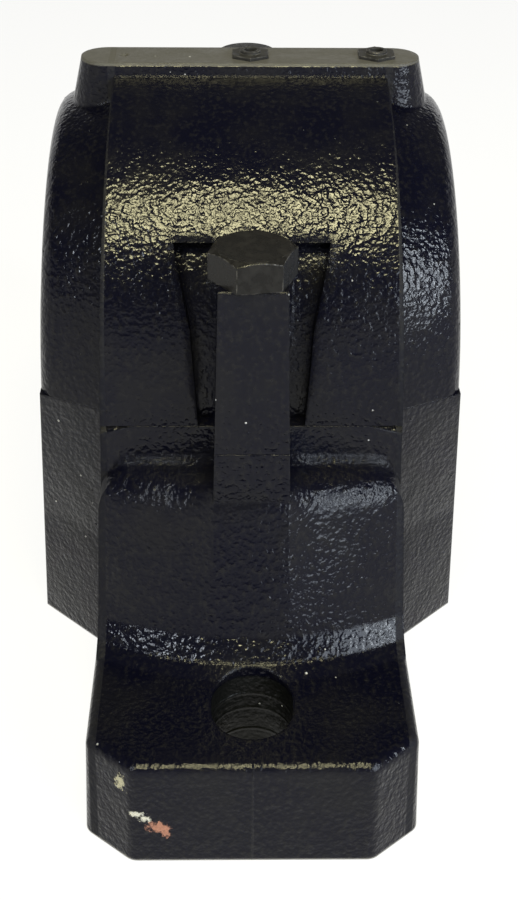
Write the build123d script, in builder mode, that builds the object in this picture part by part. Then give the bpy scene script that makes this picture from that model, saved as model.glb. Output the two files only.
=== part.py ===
from build123d import *
import math
import os

# Split plummer block for an 80 mm shaft on an adapter sleeve.
# Millimetres. X runs along the base, Y along the shaft, Z up.
# The origin is the middle of the mounting face, straight below the shaft.

# ---------------------------------------------------------------- base casting
base_length = 345.0
base_width = 101.0
foot_height = 35.0
foot_corner_x = 12.3
foot_corner_y = 14.6
foot_draft = 1.6
base_draft = 0.8
foot_edge_radius = 3.0
foot_corner_radius = 5.0
slot_spacing = 290.0
slot_width = 25.0
slot_length = 30.0
shaft_height = 100.0
buttress_height = 87.0
buttress_foot_reach = 127.5
buttress_foot_bow = 12.5
buttress_top_reach = 106.0
buttress_top_bow = 7.0
buttress_shoulder_radius = 11.0
buttress_flare = 8.0
core_width = 72.0
core_height = 54.0
core_lean = 12.0
core_wall = 11.0
pry_slot_reach = 11.0
pry_slot_height = 2.6
pry_slot_depth = 8.0

# ------------------------------------------------------- hubs beside the band
hub_width_foot = 148.0
hub_width_split = 139.4
hub_draft = 1.2
hub_inner_reach = 80.3
hub_outer_reach = 69.8
hub_foot_inner_reach = 77.0
hub_foot_outer_reach = 52.0
hub_outer_rise = 75.4
hub_inner_rise = 82.0
hub_rim_radius = 8.0
hub_root = 8.0

# ----------------------------------------------------------------- cap casting
band_radius = 90.2
band_width = 96.6
band_draft = 1.0
overall_height = 194.2
pad_length = 116.8
pad_width = 18.2
pad_draft = 12.0
pad_depth = 30.0
pillar_width = 23.4
pillar_draft = 1.2
pillar_reach = 12.0
recess_depth = 5.4
recess_split_width = 34.0
recess_waist_width = 39.0
recess_waist_height = 31.0
recess_top_width = 50.0
dimple_radius = 1.7
dimple_depth = 1.5

# -------------------------------------------------------------- bearing seat
seat_diameter = 160.0
seat_width = 65.0
cavity_diameter = 140.0
seat_wall = 10.4
end_wall = 20.0
shaft_hole_diameter = 94.0
seal_groove_diameter = 114.0
seal_groove_width = 8.4
seal_groove_inset = 5.5

# ------------------------------------------------------------------ fasteners
bolt_offset = 95.0
bolt_seat_height = 155.6
bolt_diameter = 16.0
bolt_length = 90.0
bolt_head_flats = 24.0
bolt_head_height = 10.0
bolt_head_turn = 39.0
bolt_hole_clearance = 0.75
bolt_thread_clearance = 0.1
bolt_hole_run_out = 5.0
bolt_head_chamfer = 30.0
bolt_tip_chamfer = 1.0
dowel_diameter = 8.0
dowel_length = 20.0
dowel_x = 68.0
dowel_y = 55.5
dowel_clearance = 0.02
dowel_end_gap = 0.5
dowel_tip_chamfer = 0.6

# ---------------------------------------------------------------- grease plugs
plug_spacing = 43.7
plug_thread_diameter = 10.0
plug_thread_length = 8.0
plug_thread_clearance = 0.05
plug_flats = 12.4
plug_flange_height = 1.2
plug_collar_diameter = 7.2
plug_collar_height = 1.0
plug_socket_diameter = 4.6
plug_socket_depth = 3.0
grease_hole_diameter = 6.0

# --------------------------------------------------------------- roller bearing
bearing_bore = 90.0
bearing_width = 40.0
sleeve_taper = 12.0
raceway_radius = 73.5
roller_diameter = 19.6
roller_length = 14.0
roller_offset = 9.6
roller_count = 17
roller_clearance = 0.05
inner_shoulder_diameter = 107.0
inner_race_run_out = 0.4
oil_groove_width = 8.0
oil_groove_depth = 1.5
cage_thickness = 3.0
cage_height = 7.0
cage_bar_length = 13.0
cage_bar_width = 2.0
seat_clearance = 0.02

# ------------------------------------------------ sleeve, nut, washer and rings
shaft_diameter = 80.0
sleeve_collar = 4.0
sleeve_thread_length = 22.0
sleeve_slit_width = 4.0
nut_diameter = 120.0
nut_width = 16.0
nut_slot_width = 12.0
nut_slot_depth = 5.0
nut_slot_count = 4
nut_clearance = 0.05
washer_thickness = 2.0
washer_diameter = 112.0
washer_tab_count = 19
washer_tab_width = 7.0
washer_tab_reach = 5.5
washer_bent_tab = 6.0
washer_inner_tab = 6.0
locating_ring_wall = 10.0
locating_ring_clearance = 0.1

# ----------------------------------------------------------------------- seals
seal_clearance = 0.2
seal_lip_width = 1.6

# ------------------------------------------------------------- derived values
split_plane = Plane.XY.offset(shaft_height)
shaft_axis = Axis((0, 0, shaft_height), (0, 1, 0))
seat_radius = seat_diameter / 2
cavity_radius = cavity_diameter / 2
half_base = base_width / 2
half_hub_split = hub_width_split / 2
half_hub_foot = hub_width_foot / 2
half_band = band_width / 2
half_bearing = bearing_width / 2
end_wall_face = half_hub_split - end_wall
groove_outer = half_hub_split - seal_groove_inset
groove_inner = groove_outer - seal_groove_width
bolt_radius = bolt_diameter / 2
sleeve_thread_radius = bearing_bore / 2 - seat_clearance
contact_angle = math.asin(roller_offset / (raceway_radius - roller_diameter / 2))
roller_pitch = (raceway_radius - roller_diameter / 2) * math.cos(contact_angle) - roller_clearance
big = 2 * base_length


def half_width_at(level):
    """Half width of the base casting beside the band at a height above the foot."""
    return half_band + (shaft_height - level) * math.tan(math.radians(base_draft))


def bore_radius(along):
    """Radius of the tapered bearing bore at a distance along the shaft."""
    return (bearing_bore + (along + half_bearing) / sleeve_taper) / 2


def race_point(along_roller):
    """Point of the right inner raceway, level with a distance along the roller's axis."""
    crown = raceway_radius - math.sqrt(raceway_radius**2 - along_roller**2)
    depth = roller_diameter / 2 + roller_clearance - crown
    along = roller_offset + along_roller * math.cos(contact_angle) - depth * math.sin(contact_angle)
    radius = roller_pitch - along_roller * math.sin(contact_angle) - depth * math.cos(contact_angle)
    return along, shaft_height + radius


# ================================================================== base housing
# Inside of the split housing: bearing seat, grease cavity, shaft hole, seal grooves.
with BuildPart() as interior:
    with Locations(Location((0, 0, shaft_height), (90, 0, 0))):
        Cylinder(seat_radius, seat_width)
        Cylinder(cavity_radius, 2 * end_wall_face)
        Cylinder(shaft_hole_diameter / 2, big)
        with Locations((0, 0, (groove_inner + groove_outer) / 2), (0, 0, -(groove_inner + groove_outer) / 2)):
            Cylinder(seal_groove_diameter / 2, seal_groove_width)

# The two bolt buttresses are one block with bowed ends, flared into the foot and rolled over at the top.
buttress_slope = (buttress_foot_reach - buttress_top_reach) / (buttress_height - foot_height)
buttress_bow_slope = (buttress_foot_bow - buttress_top_bow) / (buttress_height - foot_height)
with BuildPart() as buttress:
    for rise in (-foot_height, 0.0, buttress_flare * 0.25, buttress_flare, buttress_height - foot_height):
        reach = buttress_foot_reach - max(rise, 0) * buttress_slope
        bow = buttress_foot_bow - max(rise, 0) * buttress_bow_slope
        if rise < buttress_flare:
            reach += buttress_flare - math.sqrt(buttress_flare**2 - (buttress_flare - max(rise, 0)) ** 2)
        half = half_width_at(foot_height + rise)
        with BuildSketch(Plane.XY.offset(foot_height + rise)):
            with BuildLine():
                front = ThreePointArc((reach - bow, -half), (reach, 0), (reach - bow, half))
                back = ThreePointArc((bow - reach, half), (-reach, 0), (bow - reach, -half))
                Line(front @ 1, back @ 0)
                Line(back @ 1, front @ 0)
            make_face()
    loft(ruled=True)
    fillet(buttress.faces().sort_by(Axis.Z)[-1].edges(), buttress_shoulder_radius)

# Cored hollow under the casting: straight walls, a rising end under each bolt, and the seat wall left whole.
with BuildPart() as core:
    core_reach = slot_spacing / 2 - slot_length / 2 - core_wall
    with BuildSketch(Plane.XZ):
        with BuildLine():
            Polyline(
                (-core_reach, 0), (core_reach, 0), (core_reach - core_lean, core_height),
                (core_lean - core_reach, core_height),
                close=True,
            )
        make_face()
    extrude(amount=core_width / 2, both=True)
    with Locations(Location((0, 0, shaft_height), (90, 0, 0))):
        Cylinder(seat_radius + seat_wall, 2 * base_width, mode=Mode.SUBTRACT)

with BuildPart() as base:
    with BuildSketch() as foot_outline:
        with BuildLine():
            Polyline(
                (base_length / 2, foot_corner_y - half_base),
                (base_length / 2, half_base - foot_corner_y),
                (base_length / 2 - foot_corner_x, half_base),
                (foot_corner_x - base_length / 2, half_base),
                (-base_length / 2, half_base - foot_corner_y),
                (-base_length / 2, foot_corner_y - half_base),
                (foot_corner_x - base_length / 2, -half_base),
                (base_length / 2 - foot_corner_x, -half_base),
                close=True,
            )
        make_face()
        fillet(foot_outline.vertices(), foot_corner_radius)
    extrude(amount=foot_height, taper=foot_draft)
    fillet(base.faces().sort_by(Axis.Z)[-1].edges(), foot_edge_radius)
    add(buttress.part)
    # The band that carries the seat, and the hubs that taper away from it.
    with BuildSketch(split_plane):
        Rectangle(2 * band_radius, band_width)
    extrude(amount=-shaft_height, taper=-base_draft)
    for level, inner, outer, half in (
        (0.0, hub_foot_inner_reach, hub_foot_outer_reach, half_hub_foot),
        (shaft_height, hub_inner_reach, hub_outer_reach, half_hub_split),
    ):
        with BuildSketch(Plane.XY.offset(level)):
            with BuildLine():
                Polyline(
                    (inner, -half_band), (inner, half_band), (outer, half), (-outer, half),
                    (-inner, half_band), (-inner, -half_band), (-outer, -half), (outer, -half),
                    close=True,
                )
            make_face()
    loft()
    # Bolt pillars standing out of the band.
    for side in (1, -1):
        with BuildSketch(split_plane):
            with Locations((side * (bolt_offset + pillar_reach) / 2, 0)):
                Rectangle(bolt_offset + pillar_reach, pillar_width)
        extrude(amount=-(shaft_height - foot_height), taper=-pillar_draft)
    add(interior.part, mode=Mode.SUBTRACT)
    # Foot bolt slots, tapped cap bolt holes and dowel holes.
    for side in (1, -1):
        with BuildSketch():
            with Locations((side * slot_spacing / 2, 0)):
                SlotOverall(slot_length, slot_width)
        extrude(amount=2 * foot_height, mode=Mode.SUBTRACT)
        with Locations((side * bolt_offset, 0, shaft_height)):
            Hole(bolt_radius + bolt_thread_clearance,
                 depth=bolt_length + bolt_hole_run_out - (bolt_seat_height - shaft_height))
        with Locations((side * dowel_x, side * dowel_y, shaft_height)):
            Hole(dowel_diameter / 2 + dowel_clearance, depth=dowel_length / 2 + dowel_end_gap)
    add(core.part, mode=Mode.SUBTRACT)
    # Wedge-shaped pry slots at the corners of the split.
    for end in (1, -1):
        for side in (1, -1):
            with BuildSketch(Plane.YZ.offset(end * (band_radius - pry_slot_depth / 2))):
                with BuildLine():
                    Polyline(
                        (side * (half_band - pry_slot_reach), shaft_height),
                        (side * half_band, shaft_height),
                        (side * half_band, shaft_height - pry_slot_height),
                        close=True,
                    )
                make_face()
            extrude(amount=pry_slot_depth / 2, both=True, mode=Mode.SUBTRACT)

# =================================================================== cap housing
# Shallow relief in the arch beside each pillar, for the wrench.
with BuildPart() as relief:
    for side in (1, -1):
        with BuildSketch(Plane.YZ):
            with BuildLine():
                waist = shaft_height + recess_waist_height
                Polyline(
                    (-recess_split_width / 2, shaft_height),
                    (recess_split_width / 2, shaft_height),
                    (recess_waist_width / 2, waist),
                    (recess_top_width / 2, bolt_seat_height),
                    (-recess_top_width / 2, bolt_seat_height),
                    (-recess_waist_width / 2, waist),
                    close=True,
                )
            make_face()
        extrude(amount=side * 2 * band_radius)
    with Locations(Location((0, 0, shaft_height), (90, 0, 0))):
        Cylinder(band_radius - recess_depth, 2 * band_width, mode=Mode.SUBTRACT)

# Hubs: oval shells that taper from the band to rounded rims.
with BuildPart() as cap_hubs:
    hub_slope = (hub_inner_reach - hub_outer_reach) / (half_hub_split - half_band)
    hub_fall = (hub_inner_rise - hub_outer_rise) / (half_hub_split - half_band)
    for side in (1, -1):
        for half in (half_band - hub_root, half_hub_split):
            with BuildSketch(Plane.XZ.offset(-side * half)):
                with Locations((0, shaft_height)):
                    Ellipse(
                        hub_outer_reach + hub_slope * (half_hub_split - half),
                        hub_outer_rise + hub_fall * (half_hub_split - half),
                    )
        loft()
    with BuildSketch(split_plane):
        Rectangle(big, hub_width_split)
    extrude(amount=hub_inner_rise + hub_root, taper=hub_draft, mode=Mode.INTERSECT)
    fillet(
        cap_hubs.edges().filter_by(lambda edge: abs(edge.center().Y) > half_hub_split - hub_rim_radius / 2
                                   and edge.center().Z > shaft_height + hub_rim_radius),
        hub_rim_radius,
    )

with BuildPart() as cap:
    with BuildSketch(split_plane):
        Rectangle(2 * band_radius, band_width)
    extrude(amount=band_radius, taper=band_draft)
    with Locations(Location((0, 0, shaft_height), (90, 0, 0))):
        Cylinder(band_radius, 2 * band_width, mode=Mode.INTERSECT)
    add(relief.part, mode=Mode.SUBTRACT)
    add(cap_hubs.part)
    # Machined pad along the crown.
    with BuildSketch(Plane.XY.offset(overall_height)):
        SlotOverall(pad_length, pad_width, rotation=90)
    extrude(amount=-pad_depth, taper=-pad_draft)
    # Bolt pillars.
    for side in (1, -1):
        with BuildSketch(split_plane):
            with Locations((side * (bolt_offset + pillar_reach) / 2, 0)):
                Rectangle(bolt_offset + pillar_reach, pillar_width)
        extrude(amount=bolt_seat_height - shaft_height, taper=pillar_draft)
    add(interior.part, mode=Mode.SUBTRACT)
    for side in (1, -1):
        with Locations((side * bolt_offset, 0, bolt_seat_height)):
            Hole(bolt_radius + bolt_hole_clearance, depth=bolt_seat_height - shaft_height)
        with Locations((side * dowel_x, side * dowel_y, shaft_height + dowel_length / 2 + dowel_end_gap)):
            Hole(dowel_diameter / 2 + dowel_clearance, depth=dowel_length / 2 + dowel_end_gap)
    for along in (0, plug_spacing):
        with Locations((0, along, overall_height)):
            Hole(plug_thread_diameter / 2 + plug_thread_clearance, depth=plug_thread_length)
            Hole(grease_hole_diameter / 2, depth=overall_height - shaft_height)
    # Drill mark for a further grease hole.
    with Locations((0, -plug_spacing, overall_height)):
        Cone(0.0, dimple_radius, dimple_depth, align=(Align.CENTER, Align.CENTER, Align.MAX), mode=Mode.SUBTRACT)

# ===================================================================== fasteners
with BuildPart() as head_crown:
    Cylinder(bolt_head_flats / math.sqrt(3), bolt_head_height, align=(Align.CENTER, Align.CENTER, Align.MIN))
    corner_cut = bolt_head_flats / math.sqrt(3) - 0.475 * bolt_head_flats
    chamfer(
        head_crown.faces().sort_by(Axis.Z)[-1].edges(),
        length=corner_cut * math.tan(math.radians(bolt_head_chamfer)),
        length2=corner_cut,
    )


def make_bolt(side):
    """Hexagon cap bolt on its seat; side is 1 at the front and -1 at the rear."""
    with BuildPart() as bolt:
        with BuildSketch():
            RegularPolygon(bolt_head_flats / 2, 6, major_radius=False, rotation=bolt_head_turn)
        extrude(amount=bolt_head_height)
        add(head_crown.part, mode=Mode.INTERSECT)
        Cylinder(bolt_radius, bolt_length, align=(Align.CENTER, Align.CENTER, Align.MAX))
        chamfer(bolt.faces().sort_by(Axis.Z)[0].edges(), bolt_tip_chamfer)
    return bolt.part.moved(Location((side * bolt_offset, 0, bolt_seat_height)))


def make_dowel(side):
    """Dowel pin that lines the cap up with the base."""
    with BuildPart() as dowel:
        with Locations((side * dowel_x, side * dowel_y, shaft_height)):
            Cylinder(dowel_diameter / 2, dowel_length)
        chamfer(dowel.edges().filter_by(GeomType.CIRCLE), dowel_tip_chamfer)
    return dowel.part


def make_plug(along):
    """Grease plug with a hexagon flange and a round collar, screwed into the pad."""
    with BuildPart() as plug:
        with Locations((0, along, overall_height)):
            Cylinder(plug_thread_diameter / 2, plug_thread_length - bolt_tip_chamfer,
                     align=(Align.CENTER, Align.CENTER, Align.MAX))
        with BuildSketch(Plane.XY.offset(overall_height)):
            with Locations((0, along)):
                RegularPolygon(plug_flats / 2, 6, major_radius=False)
        extrude(amount=plug_flange_height)
        with Locations((0, along, overall_height + plug_flange_height)):
            Cylinder(plug_collar_diameter / 2, plug_collar_height,
                     align=(Align.CENTER, Align.CENTER, Align.MIN))
        with Locations((0, along, overall_height + plug_flange_height + plug_collar_height)):
            Hole(plug_socket_diameter / 2, depth=plug_socket_depth)
    return plug.part


# ================================================================ roller bearing
def make_locating_ring(side):
    """Ring between the bearing and the shoulder of its seat."""
    with BuildPart() as ring:
        with Locations(Location((0, side * (seat_width + bearing_width) / 4, shaft_height), (90, 0, 0))):
            Cylinder(seat_radius - locating_ring_clearance, (seat_width - bearing_width) / 2)
            Cylinder(seat_radius - locating_ring_wall, seat_width, mode=Mode.SUBTRACT)
    return ring.part


with BuildPart() as outer_ring:
    race_edge = math.sqrt(raceway_radius**2 - half_bearing**2)
    with BuildSketch(Plane.YZ):
        with BuildLine():
            race = ThreePointArc(
                (-half_bearing, shaft_height + race_edge),
                (0, shaft_height + raceway_radius),
                (half_bearing, shaft_height + race_edge),
            )
            Polyline(
                race @ 1,
                (half_bearing, shaft_height + seat_radius - seat_clearance),
                (oil_groove_width / 2, shaft_height + seat_radius - seat_clearance),
                (oil_groove_width / 2, shaft_height + seat_radius - oil_groove_depth),
                (-oil_groove_width / 2, shaft_height + seat_radius - oil_groove_depth),
                (-oil_groove_width / 2, shaft_height + seat_radius - seat_clearance),
                (-half_bearing, shaft_height + seat_radius - seat_clearance),
                race @ 0,
            )
        make_face()
    revolve(axis=shaft_axis)

with BuildPart() as inner_ring:
    shoulder = shaft_height + inner_shoulder_diameter / 2
    with BuildSketch(Plane.YZ):
        with BuildLine():
            half_race = roller_length / 2 + inner_race_run_out
            outer_end, middle, inner_end = race_point(half_race), race_point(0), race_point(-half_race)
            right = ThreePointArc(outer_end, middle, inner_end)
            left = ThreePointArc(*[(-y, z) for y, z in (inner_end, middle, outer_end)])
            Line(right @ 1, left @ 0)
            Polyline(
                left @ 1,
                (-outer_end[0], shoulder),
                (-half_bearing, shoulder),
                (-half_bearing, shaft_height + bore_radius(-half_bearing)),
                (half_bearing, shaft_height + bore_radius(half_bearing)),
                (half_bearing, shoulder),
                (outer_end[0], shoulder),
                right @ 0,
            )
        make_face()
    revolve(axis=shaft_axis)


def make_roller_row(side):
    """One row of barrel rollers around the inner ring."""
    roller_middle = Vector(0, side * roller_offset, shaft_height + roller_pitch)
    roller_axis = Vector(0, math.cos(contact_angle), -side * math.sin(contact_angle))
    with BuildPart() as roller:
        with BuildSketch(Plane(origin=roller_middle, x_dir=roller_axis, z_dir=(1, 0, 0))):
            with BuildLine():
                half = roller_length / 2
                crown = raceway_radius - math.sqrt(raceway_radius**2 - half**2)
                barrel = ThreePointArc(
                    (-half, roller_diameter / 2 - crown), (0, roller_diameter / 2), (half, roller_diameter / 2 - crown)
                )
                Polyline(barrel @ 1, (half, 0), (-half, 0), barrel @ 0)
            make_face()
        revolve(axis=Axis(roller_middle, roller_axis))
    with BuildPart() as row:
        for place in range(roller_count):
            add(roller.part.rotate(shaft_axis, place * 360 / roller_count))
    return row.part


with BuildPart() as cage_bars:
    with Locations((0, 0, shaft_height + roller_pitch)):
        Box(cage_bar_width, cage_thickness + 2 * cage_bar_length, cage_height)

with BuildPart() as cage:
    with Locations(Location((0, 0, shaft_height), (90, 0, 0))):
        Cylinder(roller_pitch + cage_height / 2, cage_thickness)
        Cylinder(roller_pitch - cage_height / 2, cage_thickness, mode=Mode.SUBTRACT)
    for place in range(roller_count):
        add(cage_bars.part.rotate(shaft_axis, (place + 0.5) * 360 / roller_count))

# ==================================================== adapter sleeve and lock nut
sleeve_end = -half_bearing - sleeve_thread_length
with BuildPart() as sleeve:
    with BuildSketch(Plane.YZ):
        with BuildLine():
            collar_end = half_bearing + sleeve_collar
            Polyline(
                (sleeve_end, shaft_height + shaft_diameter / 2),
                (collar_end, shaft_height + shaft_diameter / 2),
                (collar_end, shaft_height + bore_radius(collar_end) - seat_clearance),
                (-half_bearing, shaft_height + bore_radius(-half_bearing) - seat_clearance),
                (sleeve_end, shaft_height + sleeve_thread_radius),
                close=True,
            )
        make_face()
    revolve(axis=shaft_axis)
    with Locations((0, 0, shaft_height + shaft_diameter / 2)):
        Box(sleeve_slit_width, big, shaft_diameter / 2, mode=Mode.SUBTRACT)

washer_face = -half_bearing
with BuildPart() as lock_washer:
    with Locations(Location((0, washer_face - washer_thickness / 2, shaft_height), (90, 0, 0))):
        Cylinder(washer_diameter / 2 - washer_tab_reach, washer_thickness)
        with PolarLocations(washer_diameter / 2 - washer_tab_reach, washer_tab_count, start_angle=90):
            Box(2 * washer_tab_reach, washer_tab_width, washer_thickness)
        Cylinder(sleeve_thread_radius + nut_clearance, washer_thickness, mode=Mode.SUBTRACT)
    # Inner tab in the slit of the sleeve, and the outer tab bent into a slot of the nut.
    with Locations((0, washer_face - washer_thickness / 2, shaft_height + sleeve_thread_radius)):
        Box(sleeve_slit_width - 2 * nut_clearance, washer_thickness, washer_inner_tab)
    with Locations((0, washer_face, shaft_height + nut_diameter / 2 - nut_slot_depth + nut_clearance)):
        Box(washer_tab_width, washer_thickness + washer_bent_tab, washer_thickness,
            align=(Align.CENTER, Align.MAX, Align.MIN))

with BuildPart() as lock_nut:
    with Locations(Location((0, washer_face - washer_thickness - nut_width / 2, shaft_height), (90, 0, 0))):
        Cylinder(nut_diameter / 2, nut_width)
        Cylinder(sleeve_thread_radius + nut_clearance, nut_width, mode=Mode.SUBTRACT)
        with PolarLocations(nut_diameter / 2, nut_slot_count, start_angle=90):
            Box(2 * nut_slot_depth, nut_slot_width, nut_width, mode=Mode.SUBTRACT)


# ========================================================================= seals
def make_seal(side, keep):
    """Half of a two-lip seal in its groove; keep says which half."""
    first = side * (groove_inner + seal_clearance)
    last = side * (groove_outer - seal_clearance)
    step = side * seal_lip_width
    lip = shaft_height + shaft_diameter / 2
    body = shaft_height + shaft_hole_diameter / 2 + seal_clearance
    rim = shaft_height + seal_groove_diameter / 2 - seal_clearance
    with BuildPart() as seal:
        with BuildSketch(Plane.YZ):
            with BuildLine():
                Polyline(
                    (first, rim), (last, rim), (last, lip), (last - step, lip), (last - step, body),
                    (first + step, body), (first + step, lip), (first, lip),
                    close=True,
                )
            make_face()
        revolve(axis=shaft_axis)
        split(bisect_by=split_plane, keep=keep)
    return seal.part


# ======================================================================== export
pieces = {
    "base_housing": base.part,
    "cap_housing": cap.part,
    "cap_bolt_front": make_bolt(1),
    "cap_bolt_rear": make_bolt(-1),
    "dowel_pin_front": make_dowel(1),
    "dowel_pin_rear": make_dowel(-1),
    "grease_plug_centre": make_plug(0),
    "grease_plug_side": make_plug(plug_spacing),
    "locating_ring_left": make_locating_ring(-1),
    "locating_ring_right": make_locating_ring(1),
    "bearing_outer_ring": outer_ring.part,
    "bearing_inner_ring": inner_ring.part,
    "roller_row_left": make_roller_row(-1),
    "roller_row_right": make_roller_row(1),
    "roller_cage": cage.part,
    "adapter_sleeve": sleeve.part,
    "lock_washer": lock_washer.part,
    "lock_nut": lock_nut.part,
    "seal_left_upper": make_seal(-1, Keep.TOP),
    "seal_left_lower": make_seal(-1, Keep.BOTTOM),
    "seal_right_upper": make_seal(1, Keep.TOP),
    "seal_right_lower": make_seal(1, Keep.BOTTOM),
}
os.makedirs("parts", exist_ok=True)
for name, solid in pieces.items():
    solid.label = name
    export_step(solid, f"parts/{name}.step")
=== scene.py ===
"""Finishes, casting pimples, studio and camera for a split plummer block."""

import logging
import math
from dataclasses import dataclass
from enum import Enum

import bmesh
import bpy
from mathutils import Matrix, Vector


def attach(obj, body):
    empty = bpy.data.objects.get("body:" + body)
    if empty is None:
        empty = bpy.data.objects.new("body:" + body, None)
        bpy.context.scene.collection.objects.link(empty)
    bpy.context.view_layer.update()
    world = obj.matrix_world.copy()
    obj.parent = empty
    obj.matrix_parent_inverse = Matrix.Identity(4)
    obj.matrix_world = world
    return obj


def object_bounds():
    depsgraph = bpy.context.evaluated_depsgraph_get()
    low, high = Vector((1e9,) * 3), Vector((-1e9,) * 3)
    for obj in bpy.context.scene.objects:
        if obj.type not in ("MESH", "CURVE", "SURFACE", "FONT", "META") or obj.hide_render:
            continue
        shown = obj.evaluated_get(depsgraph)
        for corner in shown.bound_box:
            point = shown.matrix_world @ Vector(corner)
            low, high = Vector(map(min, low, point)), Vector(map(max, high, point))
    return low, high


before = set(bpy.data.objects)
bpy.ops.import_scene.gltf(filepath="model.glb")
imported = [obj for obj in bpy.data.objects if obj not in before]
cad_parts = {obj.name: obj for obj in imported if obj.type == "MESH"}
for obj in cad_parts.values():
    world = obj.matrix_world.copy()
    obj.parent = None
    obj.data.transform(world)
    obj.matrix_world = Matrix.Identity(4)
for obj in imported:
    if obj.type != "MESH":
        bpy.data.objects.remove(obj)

LOG = logging.getLogger("plummer_block")
CAD_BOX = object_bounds()
SHAFT_HEIGHT = 0.1
Colour = tuple[float, float, float]
Socket = bpy.types.NodeSocket


class Wear(Enum):
    """What shows where the paint has come away."""

    CREAM_PRIMER = (0.48, 0.45, 0.33)
    BARE_IRON = (0.42, 0.41, 0.37)
    RUST = (0.26, 0.12, 0.085)
    DUST = (0.30, 0.30, 0.31)


@dataclass(frozen=True)
class Chip:
    """One damaged spot of paint.

    Attributes:
        centre: middle of the spot in metres.
        stretch: half sizes of the spot along X, Y and Z in metres.
        wear: what shows in the spot.
        cover: how much of the spot has lost its paint, from 0 to 1.
        strength: how strongly it shows in the middle.
    """

    centre: tuple[float, float, float]
    stretch: tuple[float, float, float]
    wear: Wear
    cover: float = 0.5
    strength: float = 0.85


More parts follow.
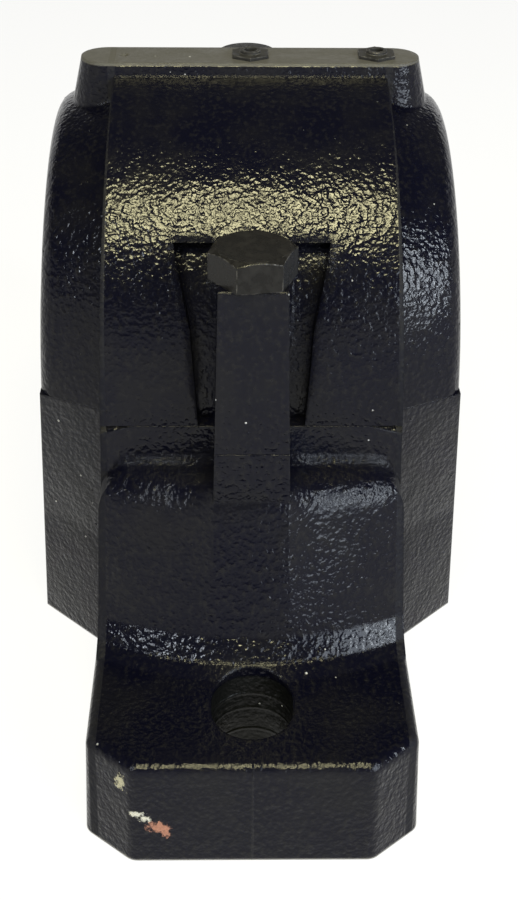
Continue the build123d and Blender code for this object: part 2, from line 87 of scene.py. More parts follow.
class Sheet:
    """Adds and joins the shader nodes of one material."""

    def __init__(self, name: str) -> None:
        """Starts a material with one plain shader.

        Args:
            name: the material's name.
        """
        self.material = bpy.data.materials.new(name)
        self.material.use_nodes = True
        self.tree = self.material.node_tree
        self.shader = self.tree.nodes["Principled BSDF"]
        self.place = self.add("ShaderNodeTexCoord").outputs["Object"]

    def add(self, kind: str, **settings: object) -> bpy.types.Node:
        """Adds one node.

        Args:
            kind: the node's type.
            **settings: properties to set on it.

        Returns:
            The new node.
        """
        node = self.tree.nodes.new(kind)
        for key, value in settings.items():
            setattr(node, key, value)
        return node

    def feed(self, node: bpy.types.Node, sockets: dict[str | int, object]) -> bpy.types.Node:
        """Sets or links inputs of a node.

        Args:
            node: the node.
            sockets: values or output sockets by input name or number.

        Returns:
            The same node.
        """
        for key, value in sockets.items():
            if isinstance(value, bpy.types.NodeSocket):
                self.tree.links.new(value, node.inputs[key])
            else:
                node.inputs[key].default_value = value
        return node

    def maths(self, operation: str, first: object, second: object = 0.0) -> Socket:
        """Returns the result of one sum on two numbers or sockets."""
        node = self.add("ShaderNodeMath", operation=operation)
        return self.feed(node, {0: first, 1: second}).outputs[0]

    def vector(self, operation: str, first: object, second: object = (0.0, 0.0, 0.0)) -> Socket:
        """Returns the result of one vector sum, a number for lengths and products."""
        node = self.add("ShaderNodeVectorMath", operation=operation)
        self.feed(node, {0: first, 1: second})
        return node.outputs["Value" if operation in ("LENGTH", "DOT_PRODUCT") else "Vector"]

    def noise(self, scale: float, detail: float = 2.0, rough: float = 0.5) -> Socket:
        """Makes a noise pattern.

        Args:
            scale: patches per metre.
            detail: number of finer layers.
            rough: strength of the finer layers.

        Returns:
            A number from 0 to 1.
        """
        node = self.add("ShaderNodeTexNoise")
        sockets = {"Vector": self.place, "Scale": scale, "Detail": detail, "Roughness": rough}
        return self.feed(node, sockets).outputs[0]

    def cells(self, scale: float) -> Socket:
        """Makes a pattern of the distance to scattered points.

        Args:
            scale: points per metre.

        Returns:
            The distance in grid cells.
        """
        node = self.add("ShaderNodeTexVoronoi")
        return self.feed(node, {"Vector": self.place, "Scale": scale}).outputs["Distance"]

    def ramp(self, value: Socket, low: float, high: float, start: float = 0.0, end: float = 1.0) -> Socket:
        """Maps a range smoothly to another one and holds its ends.

        Args:
            value: the number to map.
            low: where the result starts to leave start.
            high: where the result reaches end.
            start: result below low.
            end: result above high.

        Returns:
            The mapped number.
        """
        node = self.add("ShaderNodeMapRange", interpolation_type="SMOOTHSTEP")
        return self.feed(node, {0: value, 1: low, 2: high, 3: start, 4: end}).outputs[0]

    def mix(self, factor: Socket, first: object, second: object) -> Socket:
        """Mixes two colours.

        Args:
            factor: share of the second colour.
            first: colour or socket where the factor is 0.
            second: colour or socket where the factor is 1.

        Returns:
            The mixed colour.
        """
        node = self.add("ShaderNodeMix", data_type="RGBA")
        self.feed(node, {0: factor})
        for socket, value in ((node.inputs[6], first), (node.inputs[7], second)):
            if isinstance(value, bpy.types.NodeSocket):
                self.tree.links.new(value, socket)
            else:
                socket.default_value = (*value, 1.0)
        return node.outputs[2]

    def axes(self) -> tuple[Socket, Socket, Socket]:
        """Returns the X, Y and Z of the object's own coordinates."""
        node = self.feed(self.add("ShaderNodeSeparateXYZ"), {0: self.place})
        return node.outputs[0], node.outputs[1], node.outputs[2]

    def bump(self, height: Socket, depth: float, below: Socket | None = None) -> Socket:
        """Adds a layer of bumps.

        Args:
            height: height pattern from 0 to 1.
            depth: full height in metres.
            below: normal of the layer below.

        Returns:
            The new normal.
        """
        node = self.add("ShaderNodeBump")
        self.feed(node, {"Height": height, "Distance": depth, "Strength": 1.0})
        if below is not None:
            self.tree.links.new(below, node.inputs["Normal"])
        return node.outputs[0]

    def rounded(self, radius: object, samples: int = 6) -> Socket:
        """Returns a normal that rounds the edges and fills the corners.

        Args:
            radius: radius in metres, or a socket that gives it.
            samples: rays for each shading point.

        Returns:
            The rounded normal.
        """
        return self.feed(self.add("ShaderNodeBevel", samples=samples), {"Radius": radius}).outputs[0]

    def radius_from_shaft(self) -> Socket:
        """Returns the distance from the shaft's axis in metres."""
        x, _, z = self.axes()
        level = self.maths("SUBTRACT", z, SHAFT_HEIGHT)
        squares = self.maths("ADD", self.maths("MULTIPLY", x, x), self.maths("MULTIPLY", level, level))
        return self.maths("SQRT", squares)

    def spot(self, chip: Chip, rag: Socket) -> Socket:
        """Makes the mask of one chip, ragged at its rim.

        Args:
            chip: the damaged spot.
            rag: noise that makes the rim ragged.

        Returns:
            1 where the paint is gone and 0 elsewhere.
        """
        offset = self.vector("SUBTRACT", self.place, chip.centre)
        reach = self.vector("LENGTH", self.vector("DIVIDE", offset, chip.stretch))
        ragged = self.maths("ADD", reach, self.maths("MULTIPLY", rag, 2.2))
        return self.ramp(ragged, 1.25 + chip.cover, 1.75 + chip.cover, chip.strength, 0.0)

    def finish(self, sockets: dict[str | int, object]) -> bpy.types.Material:
        """Feeds the shader and returns the material."""
        self.feed(self.shader, sockets)
        return self.material


@dataclass(frozen=True)
class CastingPaint:
    """Black gloss paint over sand-cast iron.

    Attributes:
        colour: clean paint.
        thin_colour: paint that is thin on the grain.
        crest_colour: dusty crests of the grain.
        slot_colour: paint inside the foot slots.
        pad_colour: paint wiped thin on the milled pad.
        iron: machined faces inside and underneath.
        grain: sand grains per metre.
        grain_depth: height of the sand grain in metres.
        wave_depth: height of the slow waves of the mould in metres.
        edge_radius: radius of outer edges and plain corners.
        root_radius: radius of the corners of the relief beside the pillars.
        scoop_radius: radius of the corners where the buttresses meet the band.
        pillar_side: distance of the pillars' sides from the middle plane.
        facet_lean: sideways lean of the buttress faces beside the pillars.
        scoop_lean: further lean of the hollows where buttress and pillar meet.
        pad_level: height of the milled pad.
        mould_ridge: half width of the ridge left by the mould joint.
        slot_reach: distance of the foot slots from the middle.
        slot_ledges: heights of the small steps left in the slots by the mould's core.
        rounds_edges: whether edges and corners are rounded.
        chips: damaged spots.
    """

    colour: Colour = (0.0012, 0.0013, 0.0045)
    thin_colour: Colour = (0.0030, 0.0030, 0.0050)
    crest_colour: Colour = (0.0050, 0.0049, 0.0066)
    slot_colour: Colour = (0.0022, 0.0024, 0.0022)
    pad_colour: Colour = (0.055, 0.053, 0.050)
    iron: Colour = (0.32, 0.31, 0.30)
    grain: float = 600.0
    grain_depth: float = 0.00040
    wave_depth: float = 0.00045
    edge_radius: float = 0.0016
    root_radius: float = 0.0045
    scoop_radius: float = 0.0075
    pillar_side: float = 0.0122
    facet_lean: float = 0.20
    scoop_lean: float = 0.42
    pad_level: float = 0.1936
    mould_ridge: float = 0.00035
    slot_reach: float = 0.145
    slot_ledges: tuple[float, ...] = (0.0262, 0.0205, 0.0120)
    rounds_edges: bool = True
    chips: tuple[Chip, ...] = (
        Chip((0.1690, -0.0388, 0.0275), (0.004, 0.0022, 0.0045), Wear.CREAM_PRIMER, 0.15, 0.6),
        Chip((0.1718, -0.0343, 0.0178), (0.002, 0.0028, 0.0016), Wear.BARE_IRON, 0.30),
        Chip((0.1720, -0.0318, 0.0160), (0.002, 0.0022, 0.0014), Wear.BARE_IRON, 0.25),
        Chip((0.1720, -0.0280, 0.0128), (0.002, 0.0040, 0.0022), Wear.RUST, 0.30),
        Chip((0.1720, -0.0255, 0.0108), (0.002, 0.0020, 0.0024), Wear.RUST, 0.25),
    )

    def edges(self, sheet: Sheet, across: Socket, z: Socket) -> Socket:
        """Rounds the casting's edges and fills its corners, widest beside the pillars.

        Args:
            sheet: the material.
            across: distance from the middle plane of the casting.
            z: height.

        Returns:
            The rounded normal.
        """
        beside = sheet.maths("MULTIPLY", sheet.ramp(across, self.pillar_side, self.pillar_side + 0.0012),
                             sheet.ramp(across, 0.043, 0.046, 1.0, 0.0))
        scooped = sheet.maths("MULTIPLY", sheet.ramp(z, 0.056, 0.060),
                              sheet.ramp(z, 0.088, 0.093, self.scoop_radius - self.edge_radius, 0.0))
        relieved = sheet.maths("MULTIPLY", sheet.ramp(z, 0.108, 0.112),
                               sheet.ramp(z, 0.157, 0.161, self.root_radius - self.edge_radius, 0.0))
        extra = sheet.maths("MULTIPLY", beside, sheet.maths("ADD", scooped, relieved))
        off_split = sheet.ramp(sheet.maths("ABSOLUTE", sheet.maths("SUBTRACT", z, SHAFT_HEIGHT)), 0.0005, 0.004,
                               0.3 * self.edge_radius, self.edge_radius)
        rounded = sheet.rounded(sheet.maths("ADD", extra, off_split), 4)
        parts = sheet.feed(sheet.add("ShaderNodeSeparateXYZ"), {0: rounded})
        facing = sheet.ramp(sheet.maths("ABSOLUTE", parts.outputs[0]), 0.35, 0.65)
        on_base = sheet.maths("MULTIPLY", sheet.ramp(z, 0.045, 0.051), sheet.ramp(z, 0.0985, 0.1, 1.0, 0.0))
        lean = sheet.ramp(across, self.pillar_side - 0.0008, self.pillar_side + 0.0012, 0.0, self.facet_lean)
        scoop = sheet.maths("MULTIPLY", sheet.ramp(z, 0.056, 0.068),
                            sheet.ramp(across, self.pillar_side, self.pillar_side + 0.013, self.scoop_lean, 0.0))
        scoop = sheet.maths("MULTIPLY", scoop, sheet.ramp(across, self.pillar_side - 0.0008, self.pillar_side))
        turn = sheet.maths("MULTIPLY", sheet.maths("ADD", lean, scoop), sheet.maths("MULTIPLY", facing, on_base))
        sideways = sheet.feed(sheet.add("ShaderNodeCombineXYZ"), {
            1: sheet.maths("MULTIPLY", turn, sheet.maths("SIGN", sheet.axes()[1]))}).outputs[0]
        return sheet.vector("NORMALIZE", sheet.vector("ADD", rounded, sideways))

    def build(self, name: str = "painted_casting") -> bpy.types.Material:
        """Builds the paint with its grain, worn spots and machined faces.

        Args:
            name: the material's name.

        Returns:
            The finished material.
        """
        sheet = Sheet(name)
        x, y, z = sheet.axes()
        across = sheet.maths("ABSOLUTE", y)
        radial = sheet.radius_from_shaft()
        pad = sheet.ramp(z, self.pad_level - 0.0006, self.pad_level)
        seat = sheet.maths("MULTIPLY", sheet.ramp(radial, 0.0803, 0.0806, 1.0, 0.0),
                           sheet.ramp(across, 0.0326, 0.0330, 1.0, 0.0))
        machined = sheet.maths("MAXIMUM", seat, sheet.ramp(z, 0.0002, 0.0006, 1.0, 0.0))
        patches = sheet.noise(45.0, 3.0, 0.6)
        colour = sheet.mix(sheet.ramp(patches, 0.42, 0.68), self.colour, self.thin_colour)
        grain = sheet.noise(self.grain, 1.6, 0.5)
        colour = sheet.mix(sheet.ramp(grain, 0.46, 0.76), colour, self.crest_colour)
        slot = sheet.vector("LENGTH", sheet.feed(sheet.add("ShaderNodeCombineXYZ"), {
            0: sheet.maths("SUBTRACT", sheet.maths("ABSOLUTE", x), self.slot_reach), 1: y}).outputs[0])
        slot = sheet.maths("MULTIPLY", sheet.ramp(slot, 0.0152, 0.0156, 1.0, 0.0),
                           sheet.ramp(z, 0.0325, 0.0340, 1.0, 0.0))
        colour = sheet.mix(slot, colour, self.slot_colour)
        colour = sheet.mix(pad, colour, self.pad_colour)
        rag = sheet.noise(700.0, 3.0, 0.7)
        specks = sheet.maths("MULTIPLY", sheet.ramp(sheet.cells(150.0), 0.040, 0.070, 1.0, 0.0),
                             sheet.ramp(sheet.noise(24.0, 1.0), 0.56, 0.62))
        colour = sheet.mix(specks, colour, Wear.DUST.value)
        damage = specks
        for chip in self.chips:
            mask = sheet.spot(chip, rag)
            colour = sheet.mix(mask, colour, chip.wear.value)
            damage = sheet.maths("MAXIMUM", damage, mask)
        colour = sheet.mix(machined, colour, self.iron)
        gloss = sheet.maths("ADD", sheet.ramp(patches, 0.35, 0.7, 0.10, 0.16),
                            sheet.ramp(grain, 0.35, 0.65, 0.08, 0.0))
        gloss = sheet.maths("MAXIMUM", gloss, sheet.maths("MULTIPLY", slot, 0.42))
        gloss = sheet.maths("ADD", gloss, sheet.maths("MULTIPLY", pad, 0.26))
        flank = sheet.maths("MULTIPLY", sheet.ramp(across, 0.0460, 0.0466), sheet.ramp(radial, 0.0815, 0.0835))
        flank = sheet.maths("MULTIPLY", flank, sheet.ramp(across, 0.0486, 0.0490, 0.62, 0.0))
        gloss = sheet.maths("MAXIMUM", gloss, flank)
        gloss = sheet.maths("MAXIMUM", gloss, sheet.maths("MULTIPLY", damage, 0.85))
        gloss = sheet.maths("MAXIMUM", gloss, sheet.maths("MULTIPLY", machined, 0.42))
        smooth = sheet.maths("MULTIPLY", sheet.maths("MAXIMUM", pad, machined), 0.85)
        rough_skin = sheet.maths("SUBTRACT", 1.0, smooth)
        edges = self.edges(sheet, across, z) if self.rounds_edges else None
        normal = sheet.bump(sheet.noise(95.0, 1.0), self.wave_depth, edges)
        normal = sheet.bump(sheet.maths("MULTIPLY", grain, rough_skin),
                            self.grain_depth, normal)
        ridge = sheet.maths("MULTIPLY", sheet.ramp(across, 0.0, self.mould_ridge, 1.0, 0.0),
                            sheet.ramp(sheet.maths("ABSOLUTE", x), 0.1695, 0.1705))
        for level in self.slot_ledges:
            ledge = sheet.ramp(sheet.maths("ABSOLUTE", sheet.maths("SUBTRACT", z, level)), 0.0, 0.0009, 1.0, 0.0)
            ridge = sheet.maths("MAXIMUM", ridge, sheet.maths("MULTIPLY", ledge, slot))
        normal = sheet.bump(ridge, 0.0003, normal)
        return sheet.finish({
            "Base Color": colour, "Roughness": gloss, "Normal": normal, "Specular IOR Level": 0.18,
            "Metallic": sheet.maths("MULTIPLY", machined, 0.8),
        })


@dataclass(frozen=True)
class FastenerPaint:
    """Thin black finish on steel bolts and plugs, rubbed at the corners.

    Attributes:
        name: the material's name.
        colour: the finish.
        rubbed: steel that shows through at the corners.
        roughness: gloss of the flats.
        corner_radius: radius of the corners.
    """

    name: str
    colour: Colour = (0.007, 0.0066, 0.0066)
    rubbed: Colour = (0.12, 0.115, 0.11)
    roughness: float = 0.20
    corner_radius: float = 0.0006

    def build(self) -> bpy.types.Material:
        """Builds the finish with forging marks and rubbed corners."""
        sheet = Sheet(self.name)
        rounded = sheet.rounded(self.corner_radius, 8)
        true_normal = sheet.add("ShaderNodeNewGeometry").outputs["Normal"]
        edge = sheet.ramp(sheet.vector("DOT_PRODUCT", rounded, true_normal), 0.93, 0.995, 1.0, 0.0)
        worn = sheet.maths("MULTIPLY", edge, sheet.ramp(sheet.noise(420.0, 3.0, 0.6), 0.42, 0.66))
        marks = sheet.noise(260.0, 4.0, 0.6)
        colour = sheet.mix(sheet.ramp(marks, 0.4, 0.75), self.colour, tuple(1.9 * part for part in self.colour))
        colour = sheet.mix(worn, colour, self.rubbed)
        rough = sheet.ramp(marks, 0.3, 0.7, self.roughness, self.roughness + 0.18)
        normal = sheet.bump(marks, 0.00016, rounded)
        normal = sheet.bump(sheet.noise(1500.0, 2.0), 0.00003, normal)
        return sheet.finish({"Base Color": colour, "Roughness": rough, "Normal": normal, "Specular IOR Level": 0.12,
                             "Metallic": sheet.maths("MULTIPLY", worn, 0.9)})


@dataclass(frozen=True)
class TurnedSteel:
    """Bright steel with the fine rings of turning or grinding about the shaft.

    Attributes:
        name: the material's name.
        colour: colour of the metal.
        oil: colour of thin oil stains.
        roughness: gloss of the clean metal.
        ring_pitch: rings per metre.
        ring_depth: depth of the rings in metres.
    """

    name: str
    colour: Colour = (0.62, 0.63, 0.65)
    oil: Colour = (0.36, 0.33, 0.28)
    roughness: float = 0.22
    ring_pitch: float = 2600.0
    ring_depth: float = 0.00001

    def build(self) -> bpy.types.Material:
        """Builds the metal with rings and faint oil."""
        sheet = Sheet(self.name)
        radial = sheet.radius_from_shaft()
        _, y, _ = sheet.axes()
        phase = sheet.maths("MULTIPLY", sheet.maths("ADD", radial, y), self.ring_pitch * math.tau)
        rings = sheet.maths("SINE", phase)
        stain = sheet.ramp(sheet.noise(60.0, 4.0, 0.6), 0.5, 0.75)
        colour = sheet.mix(sheet.maths("MULTIPLY", stain, 0.5), self.colour, self.oil)
        rough = sheet.ramp(sheet.noise(180.0, 3.0), 0.3, 0.7, self.roughness, self.roughness + 0.12)
        height = sheet.maths("ADD", sheet.maths("MULTIPLY", rings, 0.5), sheet.noise(700.0, 2.0))
        return sheet.finish({"Base Color": colour, "Roughness": rough, "Metallic": 1.0,
                             "Normal": sheet.bump(height, self.ring_depth, sheet.rounded(0.0004, 4))})


@dataclass(frozen=True)
class SealRubber:
    """Matt black rubber with a fine moulded skin and a little dust.

    Attributes:
        colour: clean rubber.
        dusty: rubber under dust.
        skin_depth: height of the moulded skin in metres.
    """

    colour: Colour = (0.018, 0.018, 0.018)
    dusty: Colour = (0.055, 0.053, 0.050)
    skin_depth: float = 0.00005

    def build(self) -> bpy.types.Material:
        """Builds the rubber."""
        sheet = Sheet("seal_rubber")
        dust = sheet.ramp(sheet.noise(90.0, 4.0, 0.65), 0.45, 0.75)
        normal = sheet.bump(sheet.noise(1300.0, 3.0), self.skin_depth, sheet.rounded(0.0004, 4))
        return sheet.finish({"Base Color": sheet.mix(dust, self.colour, self.dusty), "Normal": normal,
                             "Roughness": sheet.ramp(dust, 0.0, 1.0, 0.52, 0.72)})


@dataclass
class Dresser:
    """Gives every part its finish.

    Attributes:
        castings: parts in painted iron.
        bolts: cap bolts.
        plugs: grease plugs.
        bright: ground bearing parts.
        turned: turned steel parts.
        brass: the roller cage.
        rubber: the shaft seals.
    """

    castings: tuple[str, ...] = ("base_housing", "cap_housing")
    bolts: tuple[str, ...] = ("cap_bolt_front", "cap_bolt_rear")
    plugs: tuple[str, ...] = ("grease_plug_centre", "grease_plug_side")
    bright: tuple[str, ...] = ("bearing_outer_ring", "bearing_inner_ring", "roller_row_left", "roller_row_right",
                               "dowel_pin_front", "dowel_pin_rear")
    turned: tuple[str, ...] = ("adapter_sleeve", "lock_washer", "lock_nut", "locating_ring_left",
                               "locating_ring_right")
    brass: tuple[str, ...] = ("roller_cage",)
    rubber: tuple[str, ...] = ("seal_left_upper", "seal_left_lower", "seal_right_upper", "seal_right_lower")

    def dress(self, nodes: dict[str, bpy.types.Object]) -> None:
        """Puts the finishes on the parts.

        Args:
            nodes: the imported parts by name.
        """
        finishes = (
            (self.castings, CastingPaint().build()),
            (self.bolts, FastenerPaint("bolt_black").build()),
            (self.plugs, FastenerPaint("plug_black", colour=(0.014, 0.0135, 0.0135), roughness=0.38).build()),
            (self.bright, TurnedSteel("ground_steel").build()),
            (self.turned, TurnedSteel("turned_steel", colour=(0.45, 0.46, 0.48), roughness=0.32,
                                      ring_pitch=1500.0, ring_depth=0.00002).build()),
            (self.brass, TurnedSteel("cage_brass", colour=(0.72, 0.52, 0.24), oil=(0.42, 0.28, 0.12),
                                     roughness=0.28).build()),
            (self.rubber, SealRubber().build()),
        )
        for names, material in finishes:
            for name in names:
                mesh = nodes[name].data
                mesh.materials.clear()
                mesh.materials.append(material)
                LOG.info("dressed %s in %s", name, material.name)


@dataclass
class CastingPimples:
    """Low rounded grains of fused sand that stay on the castings under the paint.

    Attributes:
        density: pimples per square metre of skin.
        radius: usual radius in metres.
        spread: share by which the radius varies.
        flatness: height over width of a pimple.
        lowest: height below which there are none.
        furthest: distance along X beyond which there are none.
        seed: seed of the scatter.
    """

    density: float = 3600.0
    radius: float = 0.00032
    spread: float = 0.45
    flatness: float = 0.40
    lowest: float = 0.040
    furthest: float = 0.125
    seed: int = 7

    def skin(self, casting: bpy.types.Object) -> bpy.types.Object:
        """Copies the outer skin of a casting, without its bores and underside.

        Args:
            casting: the cast part.

        Returns:
            A loose object with the outer faces alone.
        """
        shell = bmesh.new()
        shell.from_mesh(casting.data)
        bmesh.ops.remove_doubles(shell, verts=shell.verts, dist=1e-6)
        high = CAD_BOX[1]
        lost = []
        for face in shell.faces:
            middle = face.calc_center_median()
            outward = Vector((middle.x, 0.0, middle.z - SHAFT_HEIGHT))
            inside = outward.length < 0.081 and face.normal.dot(outward.normalized()) < 0.2
            flat = abs(face.normal.y) > 0.9 or face.normal.z > 0.97 or face.normal.z < -0.3
            if inside or flat or middle.z > high[2] - 0.014:
                lost.append(face)
        bmesh.ops.delete(shell, geom=lost, context="FACES")
        mesh = bpy.data.meshes.new("skin")
        shell.to_mesh(mesh)
        shell.free()
        skin = bpy.data.objects.new("skin", mesh)
        bpy.context.scene.collection.objects.link(skin)
        return skin

    def tree(self, material: bpy.types.Material) -> bpy.types.NodeTree:
        """Builds the Geometry Nodes tree that scatters the pimples.

        Args:
            material: finish of the pimples.

        Returns:
            The finished tree.
        """
        tree = bpy.data.node_groups.new("casting_pimples", "GeometryNodeTree")
        face = tree.interface
        face.new_socket("Skin", in_out="INPUT", socket_type="NodeSocketGeometry")
        for name, value in (("Density", self.density), ("Radius", self.radius), ("Spread", self.spread),
                            ("Flatness", self.flatness)):
            face.new_socket(name, in_out="INPUT", socket_type="NodeSocketFloat").default_value = value
        face.new_socket("Pimples", in_out="OUTPUT", socket_type="NodeSocketGeometry")
        new = tree.nodes.new
        join = tree.links.new
        given, result = new("NodeGroupInput"), new("NodeGroupOutput")
        scatter = new("GeometryNodeDistributePointsOnFaces")
        scatter.inputs["Seed"].default_value = self.seed
        grain = new("GeometryNodeMeshIcoSphere")
        grain.inputs["Radius"].default_value = 1.0
        grain.inputs["Subdivisions"].default_value = 2
        varied = new("FunctionNodeRandomValue")
        varied.data_type = "FLOAT"
        varied.inputs["Seed"].default_value = self.seed + 1
        low, high = new("ShaderNodeMath"), new("ShaderNodeMath")
        low.operation, high.operation = "SUBTRACT", "ADD"
        low.inputs[0].default_value = high.inputs[0].default_value = 1.0
        size, thin = new("ShaderNodeMath"), new("ShaderNodeMath")
        size.operation = thin.operation = "MULTIPLY"
        shape = new("ShaderNodeCombineXYZ")
        place, real = new("GeometryNodeInstanceOnPoints"), new("GeometryNodeRealizeInstances")
        paint = new("GeometryNodeSetMaterial")
        paint.inputs["Material"].default_value = material
        join(given.outputs["Skin"], scatter.inputs["Mesh"])
        join(given.outputs["Density"], scatter.inputs["Density"])
        join(given.outputs["Spread"], low.inputs[1])
        join(given.outputs["Spread"], high.inputs[1])
        join(low.outputs[0], varied.inputs[2])
        join(high.outputs[0], varied.inputs[3])
        join(varied.outputs[1], size.inputs[0])
        join(given.outputs["Radius"], size.inputs[1])
        join(size.outputs[0], thin.inputs[0])
        join(given.outputs["Flatness"], thin.inputs[1])
        join(size.outputs[0], shape.inputs[0])
        join(size.outputs[0], shape.inputs[1])
        join(thin.outputs[0], shape.inputs[2])
        where, split = new("GeometryNodeInputPosition"), new("ShaderNodeSeparateXYZ")
        low_down, far_out, either = new("ShaderNodeMath"), new("ShaderNodeMath"), new("ShaderNodeMath")
        reach, thinned = new("ShaderNodeMath"), new("GeometryNodeDeleteGeometry")
        low_down.operation, far_out.operation = "LESS_THAN", "GREATER_THAN"
        either.operation, reach.operation = "MAXIMUM", "ABSOLUTE"
        low_down.inputs[1].default_value, far_out.inputs[1].default_value = self.lowest, self.furthest
        join(where.outputs[0], split.inputs[0])
        join(split.outputs[2], low_down.inputs[0])
        join(split.outputs[0], reach.inputs[0])
        join(reach.outputs[0], far_out.inputs[0])
        join(low_down.outputs[0], either.inputs[0])
        join(far_out.outputs[0], either.inputs[1])
        join(scatter.outputs["Points"], thinned.inputs["Geometry"])
        join(either.outputs[0], thinned.inputs["Selection"])
        join(thinned.outputs[0], place.inputs["Points"])
        join(scatter.outputs["Rotation"], place.inputs["Rotation"])
        join(grain.outputs["Mesh"], place.inputs["Instance"])
        join(shape.outputs[0], place.inputs["Scale"])
        join(place.outputs[0], real.inputs[0])
        join(real.outputs[0], paint.inputs["Geometry"])
        join(paint.outputs[0], result.inputs["Pimples"])
        return tree

    def build(self, casting: bpy.types.Object, name: str, body: str, slot: str,
              material: bpy.types.Material) -> bpy.types.Object:
        """Scatters pimples over one casting and makes them a plain mesh.

        Args:
            casting: the cast part.
            name: name of the new piece.
            body: body that it rides on.
            slot: name of a material slot; not used.
            material: its finish.

        Returns:
            The finished piece.
        """
        skin = self.skin(casting)
        modifier = skin.modifiers.new("pimples", "NODES")
        modifier.node_group = self.tree(material)
        names = {item.name: item.identifier for item in modifier.node_group.interface.items_tree
                 if item.in_out == "INPUT"}
        modifier[names["Density"]] = self.density
        modifier[names["Radius"]] = self.radius
        modifier[names["Spread"]] = self.spread
        modifier[names["Flatness"]] = self.flatness
        graph = bpy.context.evaluated_depsgraph_get()
        mesh = bpy.data.meshes.new_from_object(skin.evaluated_get(graph), depsgraph=graph)
        mesh.name = name
        for polygon in mesh.polygons:
            polygon.use_smooth = True
        bpy.data.objects.remove(skin)
        piece = bpy.data.objects.new(name, mesh)
        bpy.context.scene.collection.objects.link(piece)
        if not mesh.materials:
            mesh.materials.append(material)
        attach(piece, body)
        LOG.info("%s: %d faces", name, len(mesh.polygons))
        return piece


@dataclass
class Camera:
    """The camera and where it looks.

    Attributes:
        location: place in metres.
        yaw: turn of the line of sight towards +Y, in radians.
        pitch: dip of the line of sight, in radians.
        roll: turn about the line of sight, in radians.
        lens: focal length in millimetres.
        sensor: sensor height in millimetres.
        shift: sideways and upward shift of the frame.
    """

    location: tuple[float, float, float] = (0.5064, -0.0069, 0.3570)
    yaw: float = 0.0180
    pitch: float = 0.43791
    roll: float = 0.0090
    lens: float = 60.947
    sensor: float = 36.0
    shift: tuple[float, float] = (0.00457, -0.2223)

    def build(self) -> bpy.types.Object:
        """Builds the camera and makes it the scene's own."""
        flat = math.cos(self.pitch)
        ahead = Vector((-math.cos(self.yaw) * flat, math.sin(self.yaw) * flat, -math.sin(self.pitch)))
        side = Vector((math.sin(self.yaw), math.cos(self.yaw), 0.0))
        above = side.cross(ahead)
        turn = Matrix.Rotation(self.roll, 3, ahead)
        side, above = turn.inverted() @ side, turn.inverted() @ above
        data = bpy.data.cameras.new("view")
        data.sensor_width = self.sensor
        data.lens = self.lens
        data.shift_x, data.shift_y = self.shift
        data.clip_start, data.clip_end = 0.01, 60.0
        camera = bpy.data.objects.new("view", data)
        camera.location = self.location
        camera.rotation_euler = Matrix((side, above, -ahead)).transposed().to_euler()
        bpy.context.scene.collection.objects.link(camera)
        bpy.context.scene.camera = camera
        return camera


@dataclass(frozen=True)
class Lamp:
    """One soft lamp aimed at a point.

    Attributes:
        name: the lamp's name.
        location: place in metres.
        size: width and height in metres.
        level: brightness of its face, where 1 is white.
        colour: colour of its light.
        aim: point that it faces.
    """

    name: str
    location: tuple[float, float, float]
    size: tuple[float, float]
    level: float
    colour: Colour
    aim: tuple[float, float, float] = (0.05, 0.0, 0.12)

    def build(self) -> bpy.types.Object:
        """Builds the lamp and hangs it in place."""
        data = bpy.data.lights.new(self.name, "AREA")
        data.shape = "RECTANGLE"
        data.size, data.size_y = self.size
        data.energy = self.level * math.pi * self.size[0] * self.size[1]
        data.color = self.colour
        lamp = bpy.data.objects.new(self.name, data)
        lamp.location = self.location
        lamp.rotation_euler = (Vector(self.aim) - Vector(self.location)).to_track_quat("-Z", "Y").to_euler()
        bpy.context.scene.collection.objects.link(lamp)
        return lamp


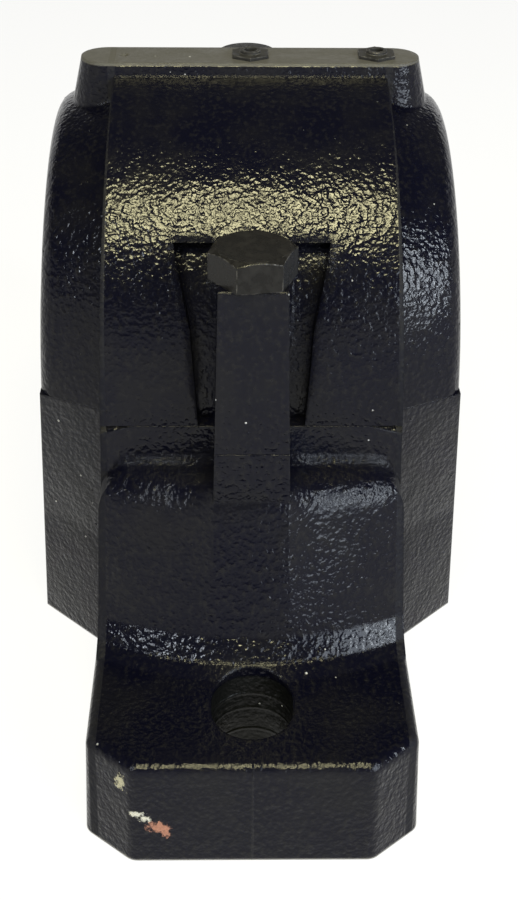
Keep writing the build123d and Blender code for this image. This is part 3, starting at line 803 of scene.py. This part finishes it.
@dataclass
class Studio:
    """Pale floor, pale walls under a darker ceiling, and soft lamps.

    Attributes:
        floor_size: side of the floor in metres.
        floor_colour: colour of the floor.
        floor_glow: share of plain white in the floor as it is seen.
        wall: brightness of the walls.
        ceiling: brightness of the ceiling.
        wall_top: sine of the angle up to which the walls reach.
        ceiling_start: sine of the angle from which the ceiling shows.
        lamps: the lamps.
    """

    floor_size: float = 9.0
    floor_colour: Colour = (0.90, 0.90, 0.90)
    floor_glow: float = 0.86
    wall: float = 0.95
    ceiling: float = 0.10
    wall_top: float = 0.14
    ceiling_start: float = 0.42
    lamps: tuple[Lamp, ...] = (
        Lamp("warm_overhead", (0.546, 0.0, 1.153), (0.42, 0.25), 56.0, (1.0, 0.93, 0.54)),
        Lamp("cool_window", (0.92, 0.75, 0.56), (0.70, 0.55), 10.0, (0.80, 0.89, 1.0)),
        Lamp("window_strip", (0.66, 0.92, 0.62), (0.12, 0.44), 36.0, (0.84, 0.92, 1.0)),
        Lamp("left_lamp", (0.794, -0.591, 0.901), (0.20, 0.24), 36.0, (0.84, 0.91, 1.0)),
    )

    def floor(self) -> bpy.types.Object:
        """Builds the pale floor, which keeps the part's shadow."""
        half = self.floor_size / 2
        mesh = bpy.data.meshes.new("floor")
        corners = [(-half, -half, -0.0004), (half, -half, -0.0004), (half, half, -0.0004), (-half, half, -0.0004)]
        mesh.from_pydata(corners, [], [(0, 1, 2, 3)])
        floor = bpy.data.objects.new("floor", mesh)
        bpy.context.scene.collection.objects.link(floor)
        material = bpy.data.materials.new("pale_floor")
        material.use_nodes = True
        tree = material.node_tree
        tree.nodes.clear()
        plain = tree.nodes.new("ShaderNodeBsdfDiffuse")
        plain.inputs["Color"].default_value = (*self.floor_colour, 1.0)
        glow = tree.nodes.new("ShaderNodeEmission")
        glow.inputs["Color"].default_value = (1.0, 1.0, 1.0, 1.0)
        glow.inputs["Strength"].default_value = 1.0
        path = tree.nodes.new("ShaderNodeLightPath")
        seen = path.outputs["Is Camera Ray"]
        for other in ("Is Glossy Ray", "Is Transmission Ray"):
            either = tree.nodes.new("ShaderNodeMath")
            either.operation = "MAXIMUM"
            tree.links.new(seen, either.inputs[0])
            tree.links.new(path.outputs[other], either.inputs[1])
            seen = either.outputs[0]
        share = tree.nodes.new("ShaderNodeMath")
        share.operation = "MULTIPLY"
        share.inputs[1].default_value = self.floor_glow
        tree.links.new(seen, share.inputs[0])
        mix = tree.nodes.new("ShaderNodeMixShader")
        out = tree.nodes.new("ShaderNodeOutputMaterial")
        tree.links.new(share.outputs[0], mix.inputs[0])
        tree.links.new(plain.outputs[0], mix.inputs[1])
        tree.links.new(glow.outputs[0], mix.inputs[2])
        tree.links.new(mix.outputs[0], out.inputs["Surface"])
        mesh.materials.append(material)
        return floor

    def world(self) -> bpy.types.World:
        """Builds the world: pale walls all round and a darker ceiling."""
        world = bpy.data.worlds.new("studio")
        bpy.context.scene.world = world
        world.use_nodes = True
        tree = world.node_tree
        background = tree.nodes["Background"]
        background.inputs["Color"].default_value = (1.0, 1.0, 1.0, 1.0)
        direction = tree.nodes.new("ShaderNodeTexCoord")
        split = tree.nodes.new("ShaderNodeSeparateXYZ")
        fall = tree.nodes.new("ShaderNodeMapRange")
        fall.interpolation_type = "SMOOTHSTEP"
        for index, value in ((1, self.wall_top), (2, self.ceiling_start), (3, self.wall), (4, self.ceiling)):
            fall.inputs[index].default_value = value
        tree.links.new(direction.outputs["Generated"], split.inputs[0])
        tree.links.new(split.outputs[2], fall.inputs[0])
        tree.links.new(fall.outputs[0], background.inputs["Strength"])
        return world

    def build(self) -> None:
        """Builds the floor, the world and the lamps."""
        self.floor()
        self.world()
        for lamp in self.lamps:
            lamp.build()
            LOG.info("lamp %s", lamp.name)


def main() -> None:
    """Dresses the parts, adds the casting's small relief, and sets up the studio and camera."""
    logging.basicConfig(level=logging.INFO, format="%(name)s: %(message)s")
    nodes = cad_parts
    Dresser().dress(nodes)
    pimples = CastingPimples()
    grain_paint = CastingPaint(rounds_edges=False, chips=()).build("painted_grain")
    pimples.build(nodes["cap_housing"], "cap_casting_pimples", "housing", "painted_iron", grain_paint)
    pimples.build(nodes["base_housing"], "base_casting_pimples", "housing", "painted_iron", grain_paint)
    Studio().build()
    Camera().build()
    bpy.context.scene.view_settings.view_transform = "Standard"


if __name__ == "__main__":
    main()
